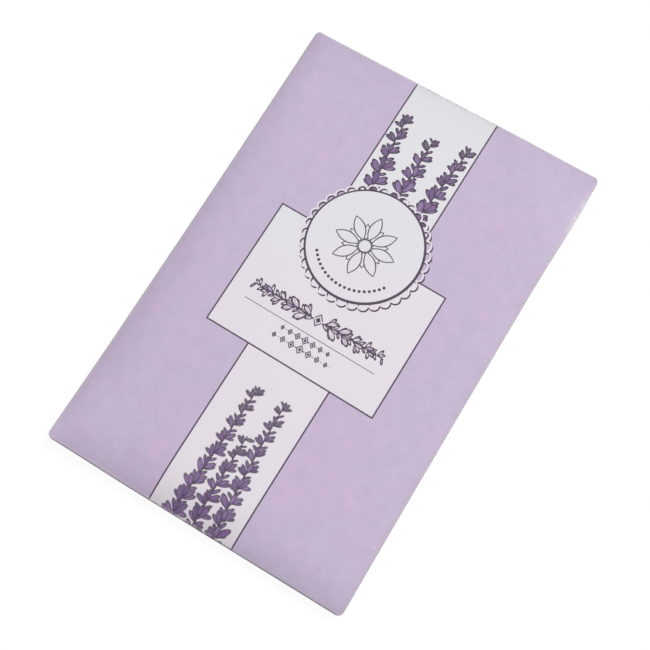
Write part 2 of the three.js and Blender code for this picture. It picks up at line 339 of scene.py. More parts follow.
    def inner_panel(self, x, y):
        """Middle of the inner side panel, which steps over the edge of the outer one."""
        end = -self.sizes.seam_lap / 2 - self.sizes.joggle_clearance
        layer = 1 + smooth((x - end + self.sizes.joggle) / self.sizes.joggle)
        return self.back(layer, x, y)

    def flap_share(self, depth, away):
        """Width of a flap at a distance from its fold, as a share of its width there."""
        root = self.fold_x - self.sizes.corner
        corner = self.sizes.flap_corner
        into = np.clip(away - (depth - corner), 0, corner)
        rounded = corner - np.sqrt(corner**2 - into**2)
        return (root - self.sizes.flap_taper * away / depth - rounded) / root

    def pouch_half(self):
        """Half the width and half the length of the pouch."""
        return [fold - self.sizes.pouch_margin for fold in self.folds]

    def ply(self, side, x, y):
        """Middle of a pouch ply, side 1 for the front one and -1 for the back one."""
        sizes = self.sizes
        half_x, half_y = self.pouch_half()
        inside = np.minimum(half_x - np.abs(x), half_y - np.abs(y)) - sizes.pouch_seal
        swell = rise(inside / sizes.pouch_swell)
        low, high = self.back(2, x, y), self.front(x, y)
        sealed = (sizes.ply + sizes.ply_clearance) / 2
        full = (high - low - sizes.paper - sizes.ply) / 2 - sizes.pouch_clearance
        apart = sealed + (full - sealed) * swell
        across, along = (np.sin(part * pace) for part, pace in zip((x, y), self.CRIMP_PACE))
        crimp = self.CRIMP * across * along * swell * (1 - swell) * 4
        return (low + high) / 2 + side * (apart - np.abs(crimp))

    def folded(self, u, v):
        """Where the points of the flat blank lie once it is folded. u runs across the front and
        out over the side folds, v along it and out over the end folds."""
        placed = np.stack([*self.spread(u, v), self.front(u, v)], 1)
        for axis, (place, other) in enumerate(((u, v), (v, u))):
            beyond = np.abs(place) - self.folds[axis]
            behind = self.behind(axis, np.sign(place), beyond, other)
            placed = np.where((beyond > 1e-9)[:, None], behind, placed)
        return self.handled(placed)

    def sharpening(self, axis, other):
        """How far a fold's reach shrinks towards its ends, where the paper is creased sharply.
        other is the place along the fold."""
        from_end = self.folds[1 - axis] - np.abs(other)
        inside = smooth((from_end - self.sizes.corner) / self.sizes.crease_zone)
        return (self.bends[axis] - self.sizes.crease) * (1 - inside)

    def outward(self, axis, place, other):
        """How far the front's edges move out, where their folds are sharp."""
        zone = self.sizes.crease_zone
        near = smooth((np.abs(place) - self.folds[axis] + zone) / zone)
        return np.sign(place) * near * self.sharpening(axis, other)

    def bend_lip(self, axis, place, turn):
        """A bend's lower part reaches on round the corner, past the bend's end."""
        corner = self.sizes.corner
        lip = corner / 3
        near = smooth((np.abs(place) - self.folds[axis] + corner + 4 * lip) / (4 * lip))
        return np.sign(place) * near * lip * np.sin(np.minimum(turn, math.pi / 2))

    def spread(self, u, v):
        """The front's edges move out where a fold is sharp, and its corners are rounded."""
        corner = self.sizes.corner
        blunt = np.where(u * v > 0, 0.95, 0.8)
        nose = self.sizes.crease + self.sizes.paper / 2
        into = [
            np.clip((np.abs(place) - fold + corner) / corner, 0, 1)
            for place, fold in zip((u, v), self.folds)
        ]
        moved = []
        for axis, (place, other) in enumerate(((u, v), (v, u))):
            a, b = into[axis], into[1 - axis]
            lip = blunt * corner * (a * np.sqrt(1 - b**2 / 2) - a)
            lip += nose * a * smooth(3 * b) * (1 - b * a / 2)
            moved.append(place + self.outward(axis, place, other) + np.sign(place) * lip)
        return moved

    def behind(self, axis, side, beyond, other):
        """Points past a fold, on its round bend or on the panel or flap behind it. other is their
        place along the fold."""
        fold, bend = self.folds[axis], self.bends[axis]
        order = 1 - 2 * axis  # of the place and the other one, as x and y
        turn = np.clip(beyond / bend, 0, math.pi)
        past = np.maximum(beyond - self.arcs[axis], 0)
        fading = 1 - smooth(past / self.sizes.crease_zone)
        shift = self.sharpening(axis, other)
        place = side * (fold + shift * fading + (bend - shift) * np.sin(turn) - past)
        level = self.back(1 - axis, *(place, other)[::order])
        if axis == 0:
            level = np.where(side > 0, level, self.inner_panel(place, other))
        centre = self.back(1 - axis, *(side * fold, other)[::order]) + bend
        z = np.where(past > 0, level, centre + bend * np.cos(turn))
        moved = self.outward(1 - axis, other, fold) + self.bend_lip(1 - axis, other, turn)
        return np.stack([*(place, other + moved * fading)[::order], z], 1)

    def handled(self, places):
        """The full sachet draws its long edges in, and handling has left one of them uneven."""
        sizes = self.sizes
        x, y = places[:, 0], places[:, 1]
        near = smooth((np.abs(x) - self.fold_x) / self.DRAWN_ZONE + 1)
        bow = np.where(x < 0, sizes.left_bow, sizes.right_bow) * (1 - (y / self.fold_y) ** 2)
        from_bulge = (y - self.fold_y + sizes.bulge_place) / sizes.bulge_width
        bulge = sizes.bulge * np.exp(-(from_bulge**2)) * (x > 0)
        from_corner = (self.fold_x + self.fold_y + x + y) / math.sqrt(2)
        drawn = sizes.corner_draw * (1 - smooth(from_corner / sizes.corner_reach))
        inward = np.sign(x) * near * (bow - bulge) - drawn / 2
        return places + np.stack([-inward, drawn, np.zeros_like(x)], 1)


def capped(field, limit):
    """A field whose heights level off at the limit."""
    power = 2.2
    step = np.abs(field) / limit
    level = np.sign(field) * np.tanh(step**power) ** (1 / power)
    return limit * level / np.abs(level).max()


def read_smoothly(field, x, y):
    """Catmull-Rom reading of a grid at places from -1 to 1 on both its axes."""
    grid = np.pad(field, 2, mode="edge")
    at = []
    for place, count in ((x, field.shape[0]), (y, field.shape[1])):
        position = (np.clip(place, -1, 1) + 1) / 2 * (count - 1)
        cell = np.clip(np.floor(position), 0, count - 2).astype(int)
        at.append((cell, position - cell))
    (i, s), (j, t) = at
    total = 0
    for a, weight_a in enumerate(catmull_rom(s)):
        for b, weight_b in enumerate(catmull_rom(t)):
            total = total + weight_a * weight_b * grid[i + a + 1, j + b + 1]
    return total


def catmull_rom(t):
    """Weights of the four neighbours of a place between the middle two."""
    return (
        -t / 2 + t**2 - t**3 / 2,
        1 - 5 / 2 * t**2 + 3 / 2 * t**3,
        t / 2 + 2 * t**2 - 3 / 2 * t**3,
        -(t**2) / 2 + t**3 / 2,
    )


# Mesh work


def numbers(items, field, width=1, kind=float):
    """A number, or a row of them, from each of a mesh's items."""
    values = np.empty(width * len(items), kind)
    items.foreach_get(field, values)
    return values if width == 1 else values.reshape(-1, width)


def vertex_places(piece):
    """The vertices' places as rows of three numbers."""
    return numbers(piece.data.vertices, "co", 3)


def set_places(piece, places):
    """Moves the vertices to the given places."""
    piece.data.vertices.foreach_set("co", np.ascontiguousarray(places, float).ravel())
    piece.data.update()


def add_grid(name, columns, rows):
    """A flat grid with its lines at the given places, alone selected and active."""
    bpy.ops.object.select_all(action="DESELECT")
    bpy.ops.mesh.primitive_grid_add(
        x_subdivisions=len(columns) - 1, y_subdivisions=len(rows) - 1, size=2
    )
    piece = bpy.context.active_object
    piece.name = piece.data.name = name
    x, y = np.meshgrid(columns, rows)
    set_places(piece, np.stack([x.ravel(), y.ravel(), np.zeros(x.size)], 1))
    return piece


def edit(piece, *steps):
    """Runs operators of edit mode on the whole piece."""
    activate(piece)
    bpy.ops.object.mode_set(mode="EDIT")
    bpy.ops.mesh.select_all(action="SELECT")
    for step in steps:
        step()
    bpy.ops.object.mode_set(mode="OBJECT")


def add_skin(name, columns, rows):
    """Two equal flat grids in one mesh, the second one facing down."""
    skin = add_grid(name, columns, rows)
    edit(skin, bpy.ops.mesh.duplicate, bpy.ops.mesh.flip_normals)
    return skin


def close_skin(skin, upper, lower):
    """Gives the two grids their heights, and joins them where they meet."""
    places = vertex_places(skin)
    places[:, 2] = np.concatenate([upper, lower])
    set_places(skin, places)
    edit(skin, lambda: bpy.ops.mesh.remove_doubles(threshold=0.001 * MM))


def delete_faces(piece, chosen):
    """Deletes the chosen faces and what only they used."""
    activate(piece)
    bpy.ops.object.mode_set(mode="EDIT")
    bpy.ops.mesh.select_all(action="DESELECT")
    bpy.ops.mesh.select_mode(type="FACE")
    bpy.ops.object.mode_set(mode="OBJECT")
    piece.data.polygons.foreach_set("select", chosen)
    bpy.ops.object.mode_set(mode="EDIT")
    bpy.ops.mesh.delete(type="FACE")
    bpy.ops.object.mode_set(mode="OBJECT")


def activate(piece):
    """Makes the piece the only selected object and the active one."""
    bpy.ops.object.select_all(action="DESELECT")
    piece.select_set(True)
    bpy.context.view_layer.objects.active = piece


def apply_modifiers(piece):
    """Applies every modifier of the piece."""
    activate(piece)
    for modifier in list(piece.modifiers):
        bpy.ops.object.modifier_apply(modifier=modifier.name)


def thicken(piece, thickness, materials=0):
    """Gives a sheet its thickness on both sides of its middle. The inner side and the rim take
    the materials that follow the outer side's."""
    solid = piece.modifiers.new("Thickness", "SOLIDIFY")
    solid.thickness = thickness
    solid.offset = 0
    solid.use_even_offset = True
    solid.material_offset = min(materials, 1)
    solid.material_offset_rim = materials
    apply_modifiers(piece)


def finish_piece(piece, slot, *nodes, angle=40):
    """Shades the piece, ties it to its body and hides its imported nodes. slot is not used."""
    activate(piece)
    bpy.ops.object.shade_smooth_by_angle(angle=math.radians(angle))
    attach(piece, "root")
    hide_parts(*nodes)


def graded(reach, first, most):
    """Stations from 0 to reach, with steps that grow from first to most."""
    stations, step = [0.0], first
    while stations[-1] + step < reach:
        stations.append(stations[-1] + step)
        step = min(most, step * 1.3)
    return np.array(stations) * reach / stations[-1]


def mirrored(stations, half):
    """Distances from a fold, as places from one fold to the other."""
    near = np.asarray(stations) - half
    return np.concatenate([near, -near[:-1][::-1]])


# Envelope

BLANK_MAP = "Blank"
BAKE_MAP = "OFBake"


def envelope_blank(form):
    """The die-cut blank as a flat sheet: front, two side panels and two end flaps."""
    sizes = form.sizes
    corner = np.linspace(0, sizes.corner, 7)[:-1]
    tip_turn = np.linspace(0, math.pi / 2, 7)[1:]
    flaps = ((-1, sizes.bottom_flap), (1, sizes.top_flap))

    def from_fold(reach):
        past_corner = graded(reach - sizes.corner, sizes.fine_cell, sizes.cell)
        return np.concatenate([corner, sizes.corner + past_corner])

    def beyond(axis, reach, *tip):
        """Stations out over a fold: its round bend, and the panel or flap."""
        arc = form.arcs[axis]
        return np.concatenate([np.linspace(0, arc, 9)[1:], arc + from_fold(reach)[1:], *tip])

    def lines(axis, low, high):
        """The grid's lines across an axis, with what lies beyond both its folds."""
        fold = form.folds[axis]
        return np.concatenate([-fold - low[::-1], mirrored(from_fold(fold), fold), fold + high])

    side = beyond(0, form.panel_reach)
    ends = (
        beyond(1, straight, form.arcs[1] + straight + sizes.flap_corner * np.sin(tip_turn))
        for straight in (depth - sizes.flap_corner for _, depth in flaps)
    )
    blank = add_grid("paper_envelope", lines(0, side, side), lines(1, *ends))
    middles = np.abs(numbers(blank.data.polygons, "center", 3)[:, :2])
    past = middles > form.folds
    near = middles > np.array(form.folds) - sizes.corner
    delete_faces(blank, (near & past[:, ::-1]).any(1))
    places = vertex_places(blank)
    for sign, depth in flaps:
        away = sign * places[:, 1] - form.fold_y - form.arcs[1]
        places[away > 0, 0] *= form.flap_share(depth, away[away > 0])
    set_places(blank, places)
    return blank


def store_blank_map(piece):
    """Keeps the flat blank's coordinates, in millimetres, as the map that the print reads."""
    corners = numbers(piece.data.loops, "vertex_index", kind=np.int32)
    layer = piece.data.uv_layers.new(name=BLANK_MAP)
    layer.data.foreach_set("uv", (vertex_places(piece)[corners, :2] / MM).ravel())


def lay_out_bake_map(piece, form):
    """A second map with the printed front largest, then the side panels and flaps, the paper's
    inside, and the cut edges as a sheet of small cells."""
    margin = 0.008
    rim_columns = 60
    cell_square = np.array([[0.15, 0.15], [0.85, 0.15], [0.85, 0.85], [0.15, 0.85]])
    mesh, sizes, reach = piece.data, form.sizes, form.panel_reach
    starts, counts, slots = (
        numbers(mesh.polygons, field, kind=np.int32)
        for field in ("loop_start", "loop_total", "material_index")
    )
    blank = numbers(mesh.uv_layers[BLANK_MAP].data, "uv", 2) * MM
    middle = np.add.reduceat(blank, starts) / counts[:, None]
    ends = np.array(form.folds) + form.arcs
    fold_x, fold_y = ends
    side, flap = ((slots == 0)[:, None] & (np.abs(middle) > ends)).T
    front_scale = (1 - 2 * margin) / (2 * fold_y)
    left = 3 * margin + 2 * fold_x * front_scale
    room = 1 - margin - left
    side_scale = room / (2 * reach + margin * 2 * fold_y)
    inner_scale = room / (2 * (fold_x + reach))
    place = (blank + ends) * front_scale + margin

    def put(faces, low_x, low_y, scale, *corner):
        """Lays faces, from their own lowest corner, at a corner of the map."""
        chosen = np.repeat(faces, counts)
        place[chosen] = (blank[chosen] - (low_x, low_y)) * scale + corner

    bottom = sizes.corner - form.fold_y
    low = 1 - margin + 2 * bottom * side_scale
    right = 1 - margin - reach * side_scale
    put(side & (middle[:, 0] > 0), fold_x, bottom, side_scale, left, low)
    put(side & (middle[:, 0] < 0), -fold_x - reach, bottom, side_scale, right, low)
    for sign, start, depth in (
        (1, fold_y, sizes.top_flap),
        (-1, -fold_y - sizes.bottom_flap, sizes.bottom_flap),
    ):
        low -= margin + depth * side_scale
        put(flap & (middle[:, 1] * sign > 0), -form.fold_x, start, side_scale, left, low)
    low -= margin + (2 * fold_y + sizes.top_flap + sizes.bottom_flap) * inner_scale
    put(slots == 1, -fold_x - reach, -fold_y - sizes.bottom_flap, inner_scale, left, low)
    rim = np.flatnonzero(slots == 2)
    rim_rows = math.ceil(len(rim) / rim_columns)
    cell = np.array([room / rim_columns, (low - 2 * margin) / rim_rows])
    for order, face in enumerate(rim):
        corner = (left, margin) + np.array([order % rim_columns, order // rim_columns]) * cell
        loops = starts[face] + np.arange(counts[face])
        place[loops] = corner + cell_square[: counts[face]] * cell
    mesh.uv_layers.new(name=BAKE_MAP).data.foreach_set("uv", place.ravel())


# Shader values that Python's arithmetic works on


class Field:
    """A value in a shader tree. Arithmetic on it adds Math nodes to the tree."""

    def __init__(self, socket):
        self.socket = socket
        self.tree = socket.id_data

    def math(self, operation, *others, clamp=False):
        node = self.tree.nodes.new("ShaderNodeMath")
        node.operation = operation
        node.use_clamp = clamp
        for place, value in enumerate((self, *others)):
            feed(node.inputs[place], value)
        return Field(node.outputs[0])

    __add__ = __radd__ = partialmethod(math, "ADD")
    __sub__ = partialmethod(math, "SUBTRACT")
    __mul__ = __rmul__ = partialmethod(math, "MULTIPLY")
    __truediv__ = partialmethod(math, "DIVIDE")
    __pow__ = partialmethod(math, "POWER")
    __abs__ = partialmethod(math, "ABSOLUTE")
    greater = partialmethod(math, "MAXIMUM")
    lesser = partialmethod(math, "MINIMUM")
    cosine = partialmethod(math, "COSINE")
    sine = partialmethod(math, "SINE")
    held = partialmethod(math, "ADD", 0, clamp=True)  # kept between 0 and 1

    def __rsub__(self, other):
        return self * -1 + other

    def __rtruediv__(self, other):
        return self**-1 * other

    def off_whole(self):
        """Distance from the nearest whole number, with its sign."""
        return self - self.math("ROUND")


def feed(target, value):
    """Links a field or an output socket to an input, or sets the input's own value."""
    if isinstance(value, Field):
        value = value.socket
    if isinstance(value, bpy.types.NodeSocket):
        target.id_data.links.new(value, target)
    else:
        target.default_value = value


def feed_all(node, **inputs):
    """Feeds some of a node's inputs by name, where _ stands for a space."""
    for name, value in inputs.items():
        feed(node.inputs[name.replace("_", " ")], value)


def node_in(tree, kind, **inputs):
    """A new node with some of its inputs fed by name."""
    node = tree.nodes.new(kind)
    feed_all(node, **inputs)
    return node


def noise(place, scale, detail, distortion=0):
    """Uneven values round 0.5 at a place, with that many finer layers."""
    node = node_in(
        place.tree,
        "ShaderNodeTexNoise",
        Vector=place,
        Scale=scale,
        Detail=detail,
        Distortion=distortion,
    )
    return Field(node.outputs["Fac"])


def mixed(share_field, first, second):
    """A colour mix."""
    node = share_field.tree.nodes.new("ShaderNodeMix")
    node.data_type = "RGBA"
    for place, value in ((0, share_field), (6, first), (7, second)):
        feed(node.inputs[place], value)
    return node.outputs[2]


def darkened(tint, by):
    """A colour at that share of its brightness."""
    return [part * by for part in tint[:3]] + [1]


def distance(a, b):
    """Length of a plane vector."""
    return (a * a + b * b).math("SQRT")


def edge_mask(inside, softness=0.05):
    """1 where a distance into a printed area is positive, with a soft edge in millimetres."""
    return (inside / (2 * softness) + 0.5).held()


def line_mask(from_line, width):
    """1 within half the width of a line."""
    return edge_mask(width / 2 - abs(from_line))


def in_sector(x, y, step, offset=0):
    """Outward and sideways parts of a place round a middle, turned into the nearest of equal
    sectors."""
    turn = (y.math("ARCTAN2", x) / step + offset).math("WRAP", 0.5, -0.5) * step
    far = distance(x, y)
    return far * turn.cosine(), far * turn.sine()


class Group:
    """A shader node group under construction. fields holds its inputs, in their order."""

    def __init__(self, name, **inputs):
        self.tree = bpy.data.node_groups.new(name, "ShaderNodeTree")
        for label, default in inputs.items():
            kind = "NodeSocketVector" if isinstance(default, tuple) else "NodeSocketFloat"
            made = self.tree.interface.new_socket(
                label.replace("_", " "), in_out="INPUT", socket_type=kind
            )
            made.default_value = default
        entry = self.tree.nodes.new("NodeGroupInput")
        self.fields = [Field(entry.outputs[place]) for place in range(len(inputs))]

    def give(self, **outputs):
        """Adds the outputs, and returns the finished group."""
        for label in outputs:
            self.tree.interface.new_socket(
                label, in_out="OUTPUT", socket_type="NodeSocketFloat"
            )
        node_in(self.tree, "NodeGroupOutput", **outputs)
        return self

    def place_in(self, tree, **inputs):
        """Adds the group to another tree, and returns its outputs by name."""
        node = tree.nodes.new("ShaderNodeGroup")
        node.node_tree = self.tree
        feed_all(node, **inputs)
        return {socket.name: Field(socket) for socket in node.outputs}


@cache
def cloud_group():
    """Soft uneven clouds of a chosen size, from 0 to 1."""
    group = Group("Clouds", Place=(0, 0, 0), Scale=1, Detail=2)
    return group.give(Cloud=((noise(*group.fields) - 0.5) * 2.2 + 0.5).held())


@cache
def fibre_group():
    """Short matted fibres of uncoated paper or nonwoven cloth, as a height and a tone."""
    group = Group("Paper fibres", Place=(0, 0, 0), Scale=1)
    place, scale = group.fields
    fine = noise(place, scale, 4)
    strand = abs(noise(place, scale * 0.35, 2, distortion=1.5) - 0.5) * -8 + 1
    return group.give(Height=fine * 0.6 + strand.held() * 0.4, Tone=fine)


@cache
def fold_wear_and_shade_group():
    """Print rubbed thin along a fold, in uneven touches, in a grey that is also painted shade of
    the fold's bend.
    """
    group = Group("Fold wear", Place=(0, 0, 0), From_fold=0, Reach=0.3, Amount=0.5)
    place, from_fold, reach, amount = group.fields
    touch = (noise(place, 0.9, 4) - 0.5) * 5 + amount
    near = (1 - abs(from_fold) / reach).held()
    return group.give(Wear=(near * touch).held())


@cache
def scallop_group():
    """A ring of outlined scallops."""
    group = Group("Scallops", X=0, Y=0, Count=35, Ring=21.2, Scallop=1.9, Line=0.4)
    x, y, count, ring, scallop, line = group.fields
    along, across = in_sector(x, y, 2 * math.pi / count)
    return group.give(Outline=line_mask(distance(along - ring, across) - scallop, line))


# A bud spray of size 1, in millimetres
WHORL_PITCH = 4.3
BUD_REACH = 2.05
BUD_GIRTH = 0.76
BUD_LINE = 0.34
STAGGER = 0.14  # of the pitch, between the buds on both sides of the stem
BUD_LAYERS = (
    # place in the whorl, size, lean, and 1 for a pair beside the stem or 0 for one on it
    (0.5, 0.62, 0.8, 1),
    (0, 0.85, 1.15, 1),
    (0.12, 1, 0.6, 1),
    (0.3, 0.9, 0, 0),
)


@cache
def spray_group():
    """A stem with buds on both sides and up its middle, uneven in size, lean and tone, smaller
    towards its tip."""
    group = Group(
        "Bud spray", X=0, Y=0, Base_X=0, Base_Y=0, Angle=0, Length=30, Bend=0, Size=1, Seed=0
    )
    x, y, base_x, base_y, angle, full, bend, scale, seed = group.fields
    x, y = x - base_x, y - base_y
    cosine, sine = angle.cosine(), angle.sine()
    along = x * cosine + y * sine
    share_along = along / full
    across = y * cosine - x * sine - bend * share_along * share_along
    taper = (1.05 - share_along.held() * 0.5) * scale
    stem = line_mask(across, taper * 0.5) * edge_mask(along) * edge_mask(full - along)
    pitch = scale * WHORL_PITCH
    drawn = None
    for order, (phase, grown, lean_out, lateral) in enumerate(BUD_LAYERS):
        hand = across.math("SIGN") * lateral
        cell = along / pitch + hand * STAGGER - phase
        index = cell.math("FLOOR")
        random = group.tree.nodes.new("ShaderNodeTexWhiteNoise")
        random.noise_dimensions = "1D"
        feed(random.inputs["W"], index * 3.7 + hand * 1.3 + seed + order * 11)
        parts = node_in(group.tree, "ShaderNodeSeparateColor", Color=random.outputs["Color"])
        red, green, blue = (Field(socket) for socket in parts.outputs)
        size = taper * grown * (red * 0.3 + 0.8)
        foot = (index - hand * STAGGER + 0.5 + phase) * pitch
        present = edge_mask(foot) * edge_mask(full - foot)
        lean = (green - 0.5) * 0.5 + lean_out
        lean_cosine, lean_sine = lean.cosine(), lean.sine()
        local = (cell - index - 0.5) * pitch + (blue - 0.5) * 0.5
        if lateral:
            out = abs(across) - size * lean_sine * 1.7 - 0.25
        else:
            out = across + (blue - 0.5) * 0.8
        tall = local * lean_cosine + out * lean_sine
        wide = out * lean_cosine - local * lean_sine
        girth = (size * BUD_GIRTH + tall * 0.03).greater(0.05)
        reach = distance(tall / (size * BUD_REACH), wide / girth)
        inside = (1 - reach) * girth
        filled = edge_mask(inside) * present
        rim = line_mask(inside, BUD_LINE) * edge_mask(1.4 - reach) * present
        crease = line_mask(wide - 0.15, 0.22) * edge_mask(tall - size * 0.3) * filled
        shade = (blue * 0.7 + wide * 0.25 + tall * 0.12 + 0.05).held()
        if drawn:
            bud, outline, tone = drawn
            around = 1 - filled
            drawn = (
                bud.greater(filled),
                (outline * around).greater(rim).greater(crease * 0.7),
                tone * around + shade * filled,
            )
        else:
            drawn = filled, rim.greater(crease * 0.7), shade
    bud, outline, tone = drawn
    tip = ((share_along - 0.66) * 4).held()
    return group.give(Bud=bud, Outline=outline, Stem=stem, Tone=tone, Tip=tip)


@cache
def rosette_group():
    """A plain round ornament of two rings of petals drawn as lines."""
    group = Group("Rosette", X=0, Y=0, Radius=11.5, Petals=8, Line=0.42)
    x, y, radius, petals, line = group.fields
    eye = 0.2  # of the radius
    total = line_mask(distance(x, y) - radius * eye, line)
    hidden = 0
    for offset, reach in ((0, 1), (0.5, 0.7)):
        along, across = in_sector(x, y, 2 * math.pi / petals, offset)
        half = (reach - eye) / 2
        share_out = (along / radius - (eye + reach) / 2) / half
        wall = (1 - share_out * share_out) * half * 0.42
        inside = (wall - abs(across) / radius) * radius
        total = total.greater(line_mask(inside, line) * (1 - hidden))
        hidden = edge_mask(inside)
    return group.give(Outline=total)


@cache
def garland_group():
    """A level row of lozenges and dots that grow smaller to both sides."""
    group = Group("Garland", X=0, Y=0, Half=26, Pitch=6.5, Height=2.2, Line=0.4)
    x, y, half, pitch, height, line = group.fields
    cell = x / pitch
    high = height * (1 - abs(cell.math("ROUND") * pitch / half) * 0.55)
    local = abs(cell.off_whole() * pitch)
    from_edge = (1 - local / (high * 0.8) - abs(y) / high) * high * 0.62
    lozenge = line_mask(from_edge, line).greater(edge_mask(from_edge - high * 0.3))
    dot = edge_mask(high * 0.2 - distance((cell + 0.5).off_whole() * pitch, y))
    return group.give(Ink=lozenge.greater(dot) * edge_mask(half - abs(x)))


def dot_lattice(x, y, pitch, radius):
    """Round dots in staggered rows."""
    row_pitch = pitch * 0.866
    row = y / row_pitch
    shift = abs(row.math("ROUND").math("MODULO", 2)) * 0.5
    local = (x / pitch + shift).off_whole() * pitch
    return edge_mask(radius - distance(local, row.off_whole() * row_pitch), 0.06)


# Materials


def new_material(name):
    """A material with its Principled node, and the tree."""
    material = bpy.data.materials.new(name)
    material.use_nodes = True
    tree = material.node_tree
    return material, tree, tree.nodes["Principled BSDF"]


def object_place(tree):
    """The place in the object, in metres."""
    return Field(tree.nodes.new("ShaderNodeTexCoord").outputs["Object"])


def plane_parts(place):
    """The first two parts of a place."""
    parts = node_in(place.tree, "ShaderNodeSeparateXYZ", Vector=place)
    return Field(parts.outputs[0]), Field(parts.outputs[1])


def bump(shader, height, strength, depth):
    """Feeds a height to the shader's normal. depth is the height's reach in metres."""
    node = node_in(height.tree, "ShaderNodeBump", Strength=strength, Distance=depth, Height=height)
    feed(shader.inputs["Normal"], node.outputs["Normal"])


SPRAYS = (
    # base x, base y, angle in degrees, length, bend: in millimetres from the front's middle, of a
    # spray above the medallion and of one below the label
    ((-8.2, 37, 97, 38, -1.0), (-8.2, -95, 84, 58, 2.5)),
    ((9.8, 37, 83, 38, 1.0), (9.6, -95, 96, 58, -2.5)),
    ((0.8, 40, 90, 31, 0.0), (0.8, -98, 90, 45, 0.0)),
)


# Places on the label, in millimetres below its middle
LAUREL_DROP = 5.2
RULE_DROP = 11.2
RULE_HALF = 25.9
SMALL_ROWS = (
    # drop, half width, pitch and height of the lozenges
    (13.6, 10.5, 3.0, 1.35),
    (17.2, 12, 3.4, 1.5),
)

# Round the medallion's middle, in millimetres
LACE_OUT = 0.6  # from the disc's edge
SCALLOP = 1.85
BEAD_RING = 16.6
BEAD = 0.55
BEAD_STEP = math.radians(6)
BEADS_EACH_SIDE = 9


